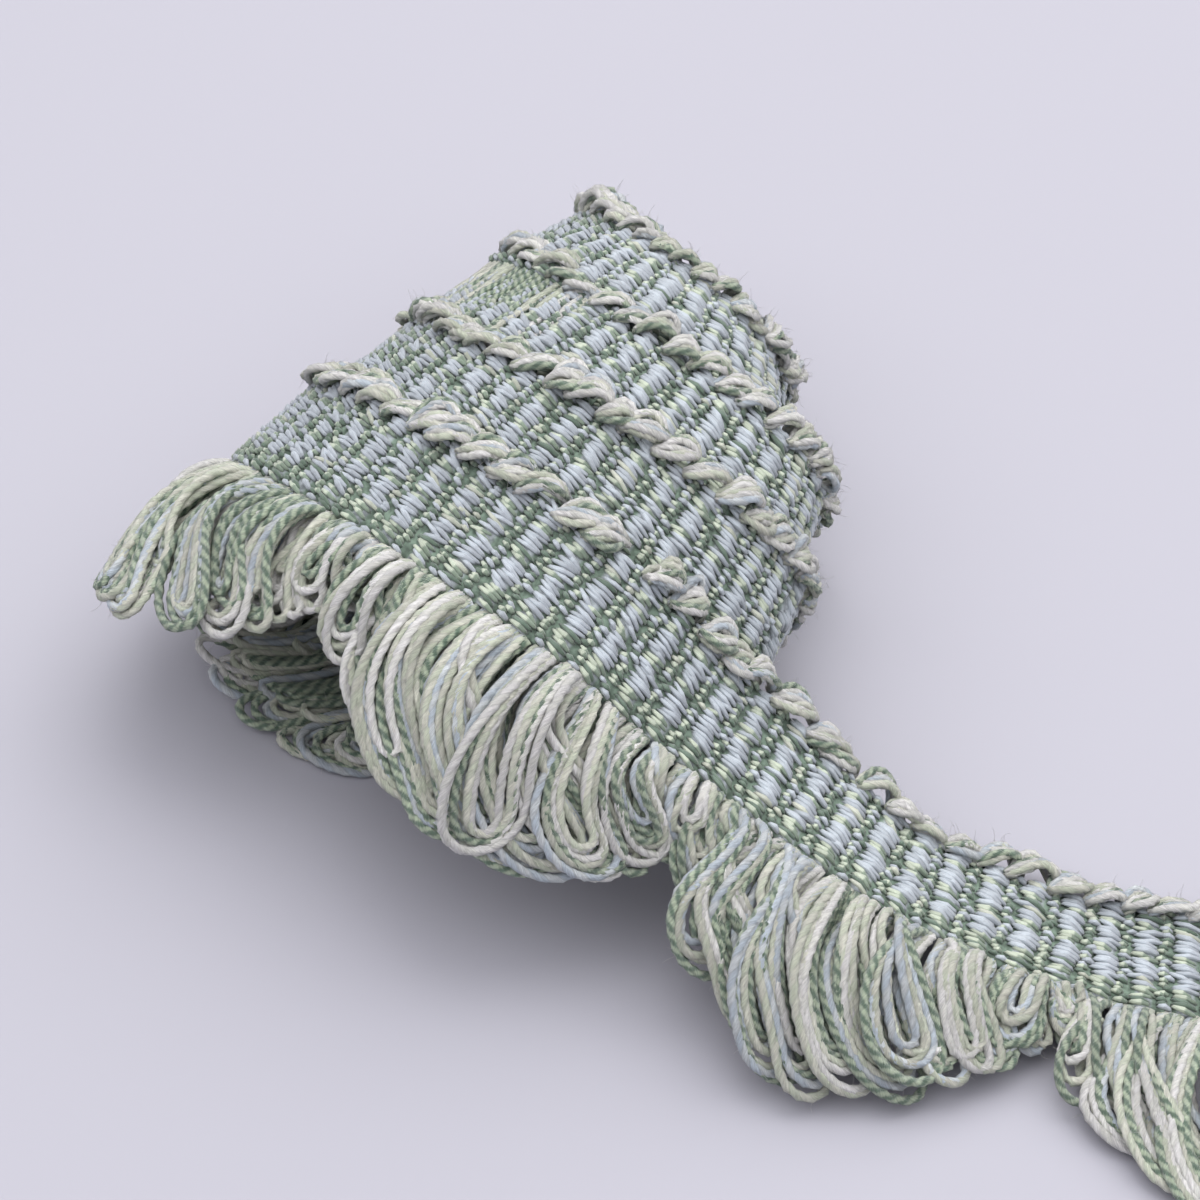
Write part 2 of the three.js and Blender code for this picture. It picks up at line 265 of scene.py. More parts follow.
def mesh_object(name, points, faces, edges=()):
    mesh = bpy.data.meshes.new(name)
    mesh.from_pydata(to_row(points), edges, faces)
    made = bpy.data.objects.new(name, mesh)
    bpy.context.collection.objects.link(made)
    return made


def store(mesh, name, values, kind="FLOAT"):
    """Keep one value or vector for each point of a mesh."""
    layer = mesh.attributes.new(name, kind, "POINT")
    field = "value" if kind == "FLOAT" else "vector"
    layer.data.foreach_set(field, np.asarray(values, np.float32).ravel())


# Node helpers
def add_node(tree, kind, **settings):
    node = tree.nodes.new(kind)
    for key, value in settings.items():
        setattr(node, key, value)
    return node


def give(tree, socket, source):
    """Joins a node's input to another node's output, or sets it to a plain value."""
    if isinstance(source, bpy.types.NodeSocket):
        tree.links.new(source, socket)
    else:
        socket.default_value = source


def feed(tree, node, **sources):
    """Gives a node its inputs by name, with spaces written as underscores."""
    for name, source in sources.items():
        give(tree, node.inputs[name.replace("_", " ")], source)
    return node


def maths(tree, operation, a, b=0.0):
    node = add_node(tree, "ShaderNodeMath", operation=operation)
    give(tree, node.inputs[0], a)
    give(tree, node.inputs[1], b)
    return node.outputs[0]


def point_value(tree, name, kind="FLOAT"):
    """What each point of a mesh keeps under a name, in a geometry tree."""
    node = add_node(tree, "GeometryNodeInputNamedAttribute", data_type=kind)
    return feed(tree, node, Name=name).outputs[0]


def keep(tree, geometry, name, value, kind="FLOAT"):
    """Keeps a value under a name for each point, in a geometry tree."""
    node = add_node(tree, "GeometryNodeStoreNamedAttribute", data_type=kind, domain="POINT")
    return feed(tree, node, Geometry=geometry, Name=name, Value=value).outputs[0]


def new_tree(name, inputs):
    """A geometry tree from one mesh to another, with the other inputs that it asks for."""
    tree = bpy.data.node_groups.new(name, "GeometryNodeTree")
    tree.interface.new_socket("Geometry", in_out="INPUT", socket_type="NodeSocketGeometry")
    for label, kind in inputs:
        tree.interface.new_socket(label, in_out="INPUT", socket_type=kind)
    tree.interface.new_socket("Geometry", in_out="OUTPUT", socket_type="NodeSocketGeometry")
    return tree, add_node(tree, "NodeGroupInput"), add_node(tree, "NodeGroupOutput")


def finish_tree(tree, given, out, geometry):
    """Ends a tree: smooth shading and the material that it was given."""
    soft = feed(tree, add_node(tree, "GeometryNodeSetShadeSmooth"), Geometry=geometry)
    dyed = add_node(tree, "GeometryNodeSetMaterial")
    feed(tree, dyed, Geometry=soft.outputs[0], Material=given.outputs["Material"])
    tree.links.new(dyed.outputs[0], out.inputs[0])


def twisted_yarn_tree():
    """Sweeps a flattened round section along every line, turning as it goes, as two plies do."""
    tree, given, out = new_tree("twisted yarn", [
        ("Radius", "NodeSocketFloat"),
        ("Flatness", "NodeSocketFloat"),
        ("Twist Pitch", "NodeSocketFloat"),
        ("Sides", "NodeSocketInt"),
        ("Material", "NodeSocketMaterial"),
    ])
    lines = feed(tree, add_node(tree, "GeometryNodeMeshToCurve"), Mesh=given.outputs["Geometry"])
    run = add_node(tree, "GeometryNodeSplineParameter").outputs["Length"]
    turns = maths(tree, "DIVIDE", run, given.outputs["Twist Pitch"])
    turns = maths(tree, "ADD", turns, point_value(tree, "phase"))
    tilt = maths(tree, "MULTIPLY", turns, math.tau)
    tilted = add_node(tree, "GeometryNodeSetCurveTilt")
    feed(tree, tilted, Curve=lines.outputs[0], Tilt=tilt)
    section = add_node(tree, "GeometryNodeCurvePrimitiveCircle", mode="RADIUS")
    feed(tree, section, Resolution=given.outputs["Sides"], Radius=1.0)
    round_way = add_node(tree, "GeometryNodeInputPosition").outputs[0]
    marked = keep(tree, section.outputs[0], "round", round_way, "FLOAT_VECTOR")
    flat = maths(tree, "MULTIPLY", given.outputs["Radius"], given.outputs["Flatness"])
    size = feed(tree, add_node(tree, "ShaderNodeCombineXYZ"), X=given.outputs["Radius"], Y=flat)
    shaped = add_node(tree, "GeometryNodeTransform")
    feed(tree, shaped, Geometry=marked, Scale=size.outputs[0])
    swept = add_node(tree, "GeometryNodeCurveToMesh")
    feed(
        tree, swept, Curve=keep(tree, tilted.outputs[0], "run", run),
        Profile_Curve=shaped.outputs[0], Scale=point_value(tree, "thick"), Fill_Caps=True,
    )
    finish_tree(tree, given, out, swept.outputs[0])
    return tree


def scattered_tree():
    """Sets a copy of one small shape at every point, turned and sized as the point says."""
    tree, given, out = new_tree("laid floats", [
        ("Shape", "NodeSocketObject"),
        ("Material", "NodeSocketMaterial"),
    ])
    points = feed(tree, add_node(tree, "GeometryNodeMeshToPoints"), Mesh=given.outputs["Geometry"])
    shape = feed(tree, add_node(tree, "GeometryNodeObjectInfo"), Object=given.outputs["Shape"])
    laid = feed(
        tree, add_node(tree, "GeometryNodeInstanceOnPoints"),
        Points=points.outputs[0], Instance=shape.outputs["Geometry"],
        Rotation=point_value(tree, "turned", "FLOAT_VECTOR"),
        Scale=point_value(tree, "size", "FLOAT_VECTOR"),
    )
    real = feed(tree, add_node(tree, "GeometryNodeRealizeInstances"), Geometry=laid.outputs[0])
    finish_tree(tree, given, out, real.outputs[0])
    return tree


def grown(source, tree, name, **values):
    """Runs a tree on an object and returns the result as a plain mesh object."""
    modifier = source.modifiers.new("grow", "NODES")
    modifier.node_group = tree
    ids = {item.name: item.identifier for item in tree.interface.items_tree if item.in_out == "INPUT"}
    for label, value in values.items():
        modifier[ids[label.replace("_", " ")]] = value
    ready = source.evaluated_get(bpy.context.evaluated_depsgraph_get())
    mesh = bpy.data.meshes.new_from_object(ready)
    source.modifiers.remove(modifier)
    bpy.data.objects.remove(source)
    mesh.name = name
    made = bpy.data.objects.new(name, mesh)
    bpy.context.collection.objects.link(made)
    return made


def even_steps(points, step):
    """The same line with its points an even step apart."""
    passed = np.concatenate([[0], np.cumsum(np.linalg.norm(np.diff(points, axis=0), axis=1))])
    count = max(3, int(round(passed[-1] / step)))
    at = np.linspace(0, passed[-1], count + 1)
    return np.stack([np.interp(at, passed, points[:, k]) for k in range(3)], -1)


def spun(name, lines, yarn_tree, material, radius, step, sides, flatness, pitch):
    """Makes yarns from lines: each has points, a shade, its thickness along the way and a turn."""
    points, edges, shades, thick, phases = [], [], [], [], []
    start = 0
    for line, shade, swell, phase in lines:
        line = even_steps(line, step)
        count = len(line)
        points.append(line)
        edges += [(start + k, start + k + 1) for k in range(count - 1)]
        shades.append(np.full(count, shade))
        along = np.linspace(0, 1, count)
        thick.append(np.interp(along, np.linspace(0, 1, len(swell)), swell))
        phases.append(np.full(count, phase))
        start += count
    source = mesh_object(name + "_lines", np.concatenate(points), [], edges)
    store(source.data, "shade", np.concatenate(shades))
    store(source.data, "thick", np.concatenate(thick))
    store(source.data, "phase", np.concatenate(phases))
    return grown(
        source, yarn_tree, name, Radius=radius * MM, Flatness=flatness,
        Twist_Pitch=pitch * MM, Sides=sides, Material=material,
    )


# Materials
def new_material(name):
    material = bpy.data.materials.new(name)
    material.use_nodes = True
    tree = material.node_tree
    return material, tree, tree.nodes["Principled BSDF"]


def kept_value(tree, name):
    """What each point keeps under a name, in a material."""
    return add_node(tree, "ShaderNodeAttribute", attribute_name=name).outputs["Fac"]


def fine_noise(tree, place, scale, roughness=0.5):
    noise = add_node(tree, "ShaderNodeTexNoise")
    feed(tree, noise, Vector=place, Scale=scale, Detail=3.0, Roughness=roughness)
    return noise.outputs[0]


def bumped(tree, height, strength, distance):
    bump = add_node(tree, "ShaderNodeBump")
    return feed(tree, bump, Height=height, Strength=strength, Distance=distance).outputs[0]


def fibres(tree, scale_along, scale_round):
    """Noise in fine fibres along a yarn, and the two ways across its section."""
    around = add_node(tree, "ShaderNodeAttribute", attribute_name="round").outputs["Vector"]
    split = feed(tree, add_node(tree, "ShaderNodeSeparateXYZ"), Vector=around)
    wide, thick = split.outputs[0], split.outputs[1]
    place = feed(
        tree, add_node(tree, "ShaderNodeCombineXYZ"),
        X=maths(tree, "MULTIPLY", kept_value(tree, "run"), scale_along),
        Y=maths(tree, "MULTIPLY", wide, scale_round),
        Z=maths(tree, "MULTIPLY", thick, scale_round),
    )
    return fine_noise(tree, place.outputs[0], 1.0, 0.6), wide, thick


def shade_ramp(tree, factor, colours):
    """The colour of each yarn by its shade number."""
    ramp = add_node(tree, "ShaderNodeValToRGB")
    ramp.color_ramp.interpolation = "CONSTANT"
    while len(ramp.color_ramp.elements) < len(colours):
        ramp.color_ramp.elements.new(0.5)
    for number, (element, colour) in enumerate(zip(ramp.color_ramp.elements, colours)):
        element.position = number / SHADES
        element.color = (*colour, 1)
    tree.links.new(factor, ramp.inputs[0])
    return ramp.outputs[0]


def between(tree, factor, first, second):
    """Mixes two colours."""
    mix = add_node(tree, "ShaderNodeMix", data_type="RGBA")
    for socket, source in zip((mix.inputs[0], mix.inputs[6], mix.inputs[7]), (factor, first, second)):
        give(tree, socket, source)
    return mix.outputs[2]


def soft_step(tree, value, low, high, bottom=0.0, top=1.0):
    ramp = add_node(tree, "ShaderNodeMapRange", interpolation_type="SMOOTHSTEP")
    feed(tree, ramp, Value=value, From_Min=low, From_Max=high, To_Min=bottom, To_Max=top)
    return ramp.outputs[0]


def own_brightness(tree, shade, low, high):
    """A little darker or lighter for each yarn, from where it lies within its shade."""
    within = maths(tree, "FRACT", maths(tree, "MULTIPLY", shade, SHADES))
    return soft_step(tree, within, 0.1, 0.9, low, high)


def paint(tree, shader, colour, *factors):
    """Sets a surface's colour, darkened or lightened by each factor in turn."""
    light = factors[0]
    for factor in factors[1:]:
        light = maths(tree, "MULTIPLY", light, factor)
    painted = add_node(tree, "ShaderNodeVectorMath", operation="SCALE")
    tree.links.new(colour, painted.inputs[0])
    tree.links.new(light, painted.inputs["Scale"])
    tree.links.new(painted.outputs[0], shader.inputs["Base Color"])


def set_yarn_surface(shader):
    """The soft matt surface of all the yarns."""
    shader.inputs["Roughness"].default_value = 0.7
    shader.inputs["Specular IOR Level"].default_value = 0.3
    shader.inputs["Sheen Weight"].default_value = 0.5
    shader.inputs["Sheen Roughness"].default_value = 0.4


def fringe_yarn():
    """Two-ply yarn of the fringe: plain colours, and a green one flecked with lime."""
    material, tree, shader = new_material("fringe yarn")
    noise, wide, thick = fibres(tree, 1100.0, 6.0)
    shade = kept_value(tree, "shade")
    ply = soft_step(tree, wide, -0.45, 0.45)
    first_ply = shade_ramp(tree, shade, FRINGE_COLOURS)
    second_ply = shade_ramp(tree, shade, FRINGE_SECOND_COLOURS)
    plain = between(tree, ply, first_ply, second_ply)
    turned = maths(tree, "ARCTAN2", thick, wide)
    ahead = maths(tree, "MULTIPLY", kept_value(tree, "run"), math.tau / (FLECK_LENGTH * MM))
    slanted = maths(tree, "SINE", maths(tree, "ADD", ahead, maths(tree, "MULTIPLY", turned, 2.0)))
    mixed = maths(tree, "ADD", slanted, maths(tree, "MULTIPLY", noise, 2.5))
    fleck = soft_step(tree, mixed, 0.3, 2.2)
    green = between(tree, fleck, (*DARK_GREEN, 1), (*LIME_FLECK, 1))
    is_green = soft_step(tree, shade, 0.59, 0.61)
    # Painted shade: the colour is darkened along the crease between the two plies, where shade falls
    painted_groove_shade = soft_step(tree, maths(tree, "ABSOLUTE", wide), 0.0, 0.5, 0.84, 1.0)
    fibre = soft_step(tree, noise, 0.3, 0.7, 0.72, 1.14)
    own = own_brightness(tree, shade, 0.88, 1.12)
    paint(tree, shader, between(tree, is_green, plain, green), painted_groove_shade, fibre, own)
    tree.links.new(bumped(tree, noise, 1.0, 0.00025), shader.inputs["Normal"])
    set_yarn_surface(shader)
    return material


def float_yarn():
    """Yarn of the floats, whose lime ones turn to a darker green halfway along."""
    material, tree, shader = new_material("float yarn")
    noise, _, _ = fibres(tree, 2.2, 4.0)
    shade = kept_value(tree, "shade")
    run = kept_value(tree, "run")
    first = shade_ramp(tree, shade, FLOAT_COLOURS)
    second = shade_ramp(tree, shade, FLOAT_SECOND_COLOURS)
    colour = between(tree, soft_step(tree, run, 0.5, 0.6), first, second)
    fibre = soft_step(tree, noise, 0.3, 0.7, 0.74, 1.12)
    # Painted shade: each float is darkened toward both ends, where it dips under the crossing yarns
    painted_end_shade = soft_step(tree, maths(tree, "PINGPONG", run, 0.5), 0.0, 0.25, 0.68, 1.0)
    own = own_brightness(tree, shade, 0.86, 1.08)
    paint(tree, shader, colour, fibre, painted_end_shade, own)
    tree.links.new(bumped(tree, noise, 0.6, 0.00025), shader.inputs["Normal"])
    set_yarn_surface(shader)
    return material


def ground_material():
    """Yarn crossings under the floats: blue-grey below the thick ribs and green between."""
    material, tree, shader = new_material("ground of the weave")
    place = add_node(tree, "ShaderNodeTexCoord").outputs["Object"]
    noise = fine_noise(tree, place, 1400.0)
    on_rib = soft_step(tree, kept_value(tree, "rib"), 0.3, 0.8)
    colour = between(tree, on_rib, (*GROUND_BETWEEN_RIBS, 1), (*GROUND_ON_RIBS, 1))
    paint(tree, shader, colour, soft_step(tree, noise, 0.3, 0.7, 0.6, 1.3))
    tree.links.new(bumped(tree, noise, 0.5, 0.0003), shader.inputs["Normal"])
    shader.inputs["Roughness"].default_value = 0.9
    return material


# The web under the floats
def web(name, start, end, material):
    """The ground of the braid as a thin closed strip with a rib under each row of floats."""
    count = int(round((end - start) / (PAIR_PITCH / WEB_STEPS_PER_PAIR)))
    place = np.linspace(start, end, count + 1)
    wide = np.linspace(-0.1, HEADING_WIDTH, WEB_COLUMNS)
    part = (place / PAIR_PITCH) % 1
    on_thick = part < THICK_RIB / PAIR_PITCH
    rib = np.where(on_thick, np.sin(np.pi * part * PAIR_PITCH / THICK_RIB), 0)
    thin = np.clip((part * PAIR_PITCH - THICK_RIB) / (PAIR_PITCH - THICK_RIB), 0, 1)
    height = WEB_DEPTH + THICK_RIB_HEIGHT * rib + THIN_RIB_HEIGHT * np.sin(np.pi * thin)
    rows = []
    for side in wide:
        rows.append(strip_points(place, np.full(count + 1, side), height))
    for side in wide[::-1]:
        rows.append(strip_points(place, np.full(count + 1, side), height - WEB_THICKNESS))
    points = np.stack(rows, 1)
    above_floor(points, 0.05)
    ring = points.shape[1]
    faces = []
    for s in range(count):
        for k in range(ring):
            a, b = s * ring + k, s * ring + (k + 1) % ring
            faces.append((a, b, b + ring, a + ring))
    faces.append(tuple(range(ring)))
    faces.append(tuple(count * ring + k for k in reversed(range(ring))))
    made = mesh_object(name, points.reshape(-1, 3), faces)
    store(made.data, "rib", np.repeat(rib, ring))
    made.data.materials.append(material)
    made.data.polygons.foreach_set("use_smooth", [True] * len(made.data.polygons))
    return made


# Floats of the weave
def float_shape():
    """One float: a plump closed lozenge of yarn one unit long, wide and high."""
    at = [-0.5, -0.36, 0.0, 0.36, 0.5]
    swell = [0.0, 0.6, 1.0, 0.66, 0.0]
    lift = [-0.5, 0.1, 0.4, 0.1, -0.5]
    sides = 5
    points, runs, rounds = [(at[0], 0, lift[0])], [0], [(1, 0, 0)]
    for k in (1, 2, 3):
        for s in range(sides):
            angle = 2 * math.pi * s / sides
            half = 0.5 * swell[k]
            points.append((at[k], half * math.cos(angle), lift[k] + half * math.sin(angle)))
            runs.append(at[k] + 0.5)
            rounds.append((math.cos(angle), math.sin(angle), 0))
    points.append((at[4], 0, lift[4]))
    runs.append(1)
    rounds.append((1, 0, 0))
    faces = [(0, 1 + (s + 1) % sides, 1 + s) for s in range(sides)]
    for k in range(2):
        for s in range(sides):
            a, b = 1 + k * sides + s, 1 + k * sides + (s + 1) % sides
            faces.append((a, b, b + sides, a + sides))
    last = len(points) - 1
    base = 1 + 2 * sides
    faces += [(last, base + s, base + (s + 1) % sides) for s in range(sides)]
    mesh = bpy.data.meshes.new("float_shape")
    mesh.from_pydata(points, [], faces)
    store(mesh, "run", runs)
    store(mesh, "round", rounds, "FLOAT_VECTOR")
    return bpy.data.objects.new("float_shape", mesh)


def euler_of(along, across, out):
    """XYZ Euler angles of frames whose X, Y and Z ways are the three given."""
    y_turn = np.arcsin(np.clip(-along[:, 2], -1, 1))
    x_turn = np.arctan2(across[:, 2], out[:, 2])
    z_turn = np.arctan2(along[:, 1], along[:, 0])
    return np.stack([x_turn, y_turn, z_turn], -1)


def own_shade(rng, shade):
    return shade + rng.uniform(-SHADE_SPREAD, SHADE_SPREAD)


def floats(name, pairs, tree, shape, material, seed):
    """All floats on a stretch of braid, given by the numbers of its pairs of ribs."""
    rng = np.random.default_rng(seed)
    place, across, size, shade, rise = [], [], [], [], []
    for pair in pairs:
        for rows, middle, (length, width, height, depth) in (
            (THICK_ROWS, THICK_RIB / 2, THICK_RIB_FLOAT),
            (THIN_ROWS, (PAIR_PITCH + THICK_RIB) / 2, THIN_RIB_FLOAT),
        ):
            for row, letter in enumerate(rows):
                share = GREEN_FLOAT_SHARE if letter in "lg" else 1.0
                place.append(pair * PAIR_PITCH + middle + rng.normal(0, 0.25) - (1 - share) * 1.2)
                across.append(0.25 + row * FLOAT_PITCH + rng.normal(0, 0.08))
                plump = rng.uniform(0.85, 1.15)
                long = length * share * rng.uniform(0.88, 1.12)
                size.append((long, width * plump, height * share * plump))
                if rng.random() < SWAPPED_FLOATS:
                    letter = "blge"[int(rng.integers(0, 4))]
                shade.append(own_shade(rng, YARN_OF[letter]))
                rise.append(depth)
    place, across = np.array(place), np.array(across)
    _, along, over, out = strip_frames(place)
    slant = np.radians(rng.normal(11, 8, len(place)))[:, None]
    turned_along = along * np.cos(slant) - over * np.sin(slant)
    turned_over = np.cross(out, turned_along)
    centre = strip_points(place, across, np.array(rise))
    source = mesh_object(name + "_points", centre, [])
    store(source.data, "turned", euler_of(turned_along, turned_over, out), "FLOAT_VECTOR")
    store(source.data, "size", np.array(size) * MM, "FLOAT_VECTOR")
    store(source.data, "shade", shade)
    return grown(source, tree, name, Shape=shape, Material=material)


# Fringe
def loop_size(place):
    """A loop's length at a place along its fan, as a share of the longest."""
    along_fan = ((place - NOTCH_AT) / FAN_PITCH) % 1
    return float(smooth(FAN_OUTLINE, "at", "share", along_fan))


def loop_line(place, spread, short, lift, sway, wave, root, scale=1.0):
    """One yarn of a loop: out from the braid, round the tip and back, `spread` to each side."""
    low, along, across, out = (v[0] for v in strip_frames([place]))
    hang = np.array([float(smooth(HANG, "place", axis, place)) for axis in "xyz"])
    tip = hang * loop_size(place) * scale
    reach = np.linalg.norm(tip)
    side_way = unit(np.cross(out, unit(tip)))
    if side_way @ along < 0:
        side_way = -side_way
    tip = tip + side_way * sway
    spread = min(spread, WIDEST_LOOP * reach)
    bend = spread / reach
    u = np.linspace(0, 1 - bend - min(0.4, short / reach), LEG_STEPS)
    full = np.sin(np.pi / 2 * np.minimum(1, u / 0.8)) ** 1.2
    bow = wave * np.sin(2 * np.pi * u) - LOOP_BOW * reach * np.sin(np.pi * u)
    legs = []
    for sign in (1, -1):
        leg = (
            low - across * (0.2 + reach * u * (1 - u))[:, None]
            + tip * (u * u)[:, None]
            + along * (sign * root * (0.7 + 0.25 * spread) * (1 - u) ** 2)[:, None]
            + side_way * (sign * spread * full)[:, None]
            + side_way * bow[:, None]
            + out * (-0.9 + lift * np.sin(np.pi * u ** 0.7) + 0.35 * sign * np.sin(np.pi * u))[:, None]
        )
        legs.append(leg)
    first, second = legs
    ahead = unit(first[-1] + second[-1] - first[-3] - second[-3])
    middle = (first[-1] + second[-1]) / 2
    half = (first[-1] - second[-1]) / 2
    turn = np.linspace(0, math.pi, 9)[1:-1]
    deep = np.linalg.norm(half) * 1.1 * np.sin(turn)
    arc = middle + half * np.cos(turn)[:, None] + ahead * deep[:, None]
    whole = np.concatenate([first, arc, second[::-1]])
    return above_floor(whole, YARN_RADIUS)


def bundle(rng, place, yarns, wide, lift, scale=1.0, shades=None, aside=0.0):
    """One loop: nested yarns that leave the braid together, crossed at the root in some loops."""
    order = [BLUE, GREEN, GREEN, BEIGE, WHITE, WHITE, BEIGE, GREEN, BLUE, BEIGE, BEIGE]
    first = int(rng.integers(0, len(order)))
    sway = aside + rng.normal(0, 1.5) * scale
    wave = rng.normal(0, 0.8) * scale
    root = -1 if rng.random() < CROSSED_LOOPS else 1
    gap = rng.uniform(0.5, 1.3) * scale
    lines = []
    for q in range(yarns):
        spread = wide * (0.3 + 0.7 * q / max(yarns - 1, 1)) + rng.normal(0, 0.15)
        short = (yarns - 1 - q) * gap + rng.uniform(0, 0.8)
        line = loop_line(
            place + rng.normal(0, 0.25), spread, short, lift + rng.normal(0, 0.3),
            sway + rng.normal(0, 0.45), wave + rng.normal(0, 0.3), root, scale,
        )
        shade = order[(first + q) % len(order)] if shades is None else shades[q]
        lines.append((line, own_shade(rng, shade), [1, 1], rng.random()))
    return lines


def fan_loops(start, end, yarns, seed):
    """All loops on a stretch of fringe, with small ones between them and short curls on top."""
    rng = np.random.default_rng(seed)
    pitch = FAN_PITCH / LOOPS_PER_FAN
    lines = []
    for k in range(math.ceil((start - NOTCH_AT) / pitch), math.ceil((end - NOTCH_AT) / pitch)):
        place = NOTCH_AT + (k + 0.5) * pitch
        if place > TAIL_LENGTH - 2:
            continue
        wide = rng.uniform(2.2, 4.6) * (0.55 + 0.45 * loop_size(place))
        layer = 0.9 + 1.5 * (k % 2) + rng.uniform(-0.3, 0.5)
        lines += bundle(rng, place, yarns, wide, layer)
        lines += bundle(rng, place + pitch / 2, 2, 1.3, -0.1, 0.85)
        if k % 3 == 0:
            at = place + rng.normal(0, 1)
            wide = rng.uniform(1.0, 2.0)
            lines += bundle(rng, at, 3, wide, 2.4, rng.uniform(0.55, 0.75))
    if start < TEARDROP_AT < end:
        lines += bundle(rng, TEARDROP_AT, 5, 4.3, 4.6, 0.85, TEARDROP_YARNS, -8.5)
    return lines


def tucked_loops(start, end, seed):
    """Plain loops of the inner turns, which lie flat inside the turn before them."""
    rng = np.random.default_rng(seed)
    out_and_back = np.concatenate([np.linspace(0, 1, 6), np.linspace(1, 0, 6)])
    side = np.repeat([-1.0, 1.0], 6)
    lines = []
    for place in np.arange(start, end, TUCKED_PITCH):
        across = -0.2 - TUCKED_LENGTH * out_and_back * rng.uniform(0.85, 1.1)
        at = place + rng.normal(0, 0.2) + side * (0.55 + 0.3 * out_and_back)
        points = above_floor(strip_points(at, across, -0.9 - 2.6 * out_and_back), YARN_RADIUS)
        shade = [WHITE, BEIGE, GREEN, BLUE, BEIGE][int(rng.integers(0, 5))]
        lines.append((points, shade, [1, 1], rng.random()))
    return lines


# Picots
def picot_lines(start, end, seed):
    """Leaf-shaped loops along the braid's far edge: bundles that lean toward the loose end."""
    rng = np.random.default_rng(seed)
    order = [WHITE, BEIGE, WHITE, BLUE, WHITE, GREEN, BEIGE]
    u = np.linspace(0, 1, 13)
    swell = np.sin(np.pi * u) ** 0.7
    middle = (PICOT_YARNS - 1) / 2
    lines = []
    for k in range(math.ceil(start / PICOT_PITCH), math.floor(end / PICOT_PITCH)):
        place = k * PICOT_PITCH + rng.normal(0, 0.5)
        long = rng.uniform(4.6, 6.6)
        tall = rng.uniform(2.4, 3.6)
        wide = rng.uniform(1.2, 1.9)
        curl = rng.uniform(0.3, 0.8)
        rise = rng.uniform(-0.3, 0.7)
        turn = int(rng.integers(0, len(order)))
        for q in range(PICOT_YARNS):
            w = (q - middle) / middle + rng.normal(0, 0.14)
            wave = 0.2 * np.sin(2 * np.pi * u + rng.uniform(0, 6.3))
            reach = long * rng.uniform(0.88, 1.08)
            at = place - 0.9 + reach * u * (1 - 0.12 * u) - 0.55 * w * wide * swell + wave
            raised = tall * np.sin(np.pi * curl * u)
            across = HEADING_WIDTH - 0.9 + raised + 0.8 * w * wide * swell - wave
            out = 0.1 + (0.9 + rise - 0.75 * w) * swell - 1.9 * u ** 2 + rng.normal(0, 0.2)
            points = above_floor(strip_points(at, across, out), YARN_RADIUS * 0.8)
            shade = own_shade(rng, order[(q + turn) % len(order)])
            lines.append((points, shade, [0.8, 1.05, 1.05, 0.8], rng.random()))
    return lines


def hair_lines(yarns, count, seed):
    """Loose fibres that stand off a set of yarns."""
    rng = np.random.default_rng(seed)
    lines = []
    for _ in range(count):
        yarn = yarns[int(rng.integers(0, len(yarns)))][0]
        root = yarn[int(rng.integers(len(yarn) // 4, len(yarn) * 3 // 4))]
        way = unit(rng.normal(0, 1, 3) + np.array([-0.2, -0.2, 0.4]))
        side = unit(np.cross(way, rng.normal(0, 1, 3)))
        u = np.linspace(0, 1, 5)[:, None]
        long = rng.uniform(0.4, 1.7)
        curl = rng.uniform(0.5, 1.6)
        ahead = 0.45 + long * np.sin(curl * u) / curl
        points = root + way * ahead + side * (long * (1 - np.cos(curl * u)))
        lines.append((above_floor(points, 0.1), WHITE, [1, 0.4], 0))
    return lines


# Stage
def floor():
    mesh = bpy.data.meshes.new("floor")
    mesh.from_pydata([(-3, -3, 0), (3, -3, 0), (3, 3, 0), (-3, 3, 0)], [], [(0, 1, 2, 3)])
    made = bpy.data.objects.new("floor", mesh)
    bpy.context.collection.objects.link(made)
    material, _, shader = new_material("pale table")
    shader.inputs["Base Color"].default_value = (0.475, 0.467, 0.52, 1)
    shader.inputs["Roughness"].default_value = 0.85
    shader.inputs["Specular IOR Level"].default_value = 0.2
    mesh.materials.append(material)


def area_light(name, azimuth, elevation, distance, size, power, colour, target):
    data = bpy.data.lights.new(name, "AREA")
    data.shape = "DISK"
    data.size = size
    data.energy = power
    data.color = colour
    made = bpy.data.objects.new(name, data)
    a, e = math.radians(azimuth), math.radians(elevation)
    way = Vector((math.cos(e) * math.cos(a), math.cos(e) * math.sin(a), math.sin(e)))
    made.location = target + way * distance
    made.rotation_euler = way.to_track_quat("Z", "Y").to_euler()
    bpy.context.collection.objects.link(made)


def lights(target):
    area_light("key", 0, 60, 0.9, 1.2, 5.6, (1.0, 0.99, 0.97), target)
    area_light("right", 265, 66, 1.1, 1.4, 5.6, (0.98, 0.98, 1.0), target)
    area_light("left", 130, 66, 1.1, 1.4, 6.0, (0.98, 0.98, 1.0), target)
    world = bpy.data.worlds.new("studio")
    world.use_nodes = True
    background = world.node_tree.nodes["Background"]
    background.inputs[0].default_value = (0.93, 0.93, 1.0, 1)
    background.inputs[1].default_value = 0.45
    bpy.context.scene.world = world


def plain_tones():
    settings = bpy.context.scene.view_settings
    settings.view_transform = "Standard"
    settings.look = "None"


def camera():
    """The photograph's view: 47 degrees above the table, 500 mm from the trim."""
    azimuth, elevation, distance, field = 54.0, 47.0, 0.5, 15.19
    target = Vector(to_row(np.zeros(3)))
    a, e = math.radians(azimuth), math.radians(elevation)
    way = Vector((-math.sin(a) * math.cos(e), -math.cos(a) * math.cos(e), math.sin(e)))
    data = bpy.data.cameras.new("camera")
    data.sensor_width = 36
    data.lens = data.sensor_width / 2 / math.tan(math.radians(field / 2))
    data.clip_start = 0.01
    made = bpy.data.objects.new("camera", data)
    made.location = target + way * distance
    made.rotation_euler = way.to_track_quat("Z", "Y").to_euler()
    bpy.context.collection.objects.link(made)
    bpy.context.scene.camera = made
    return target


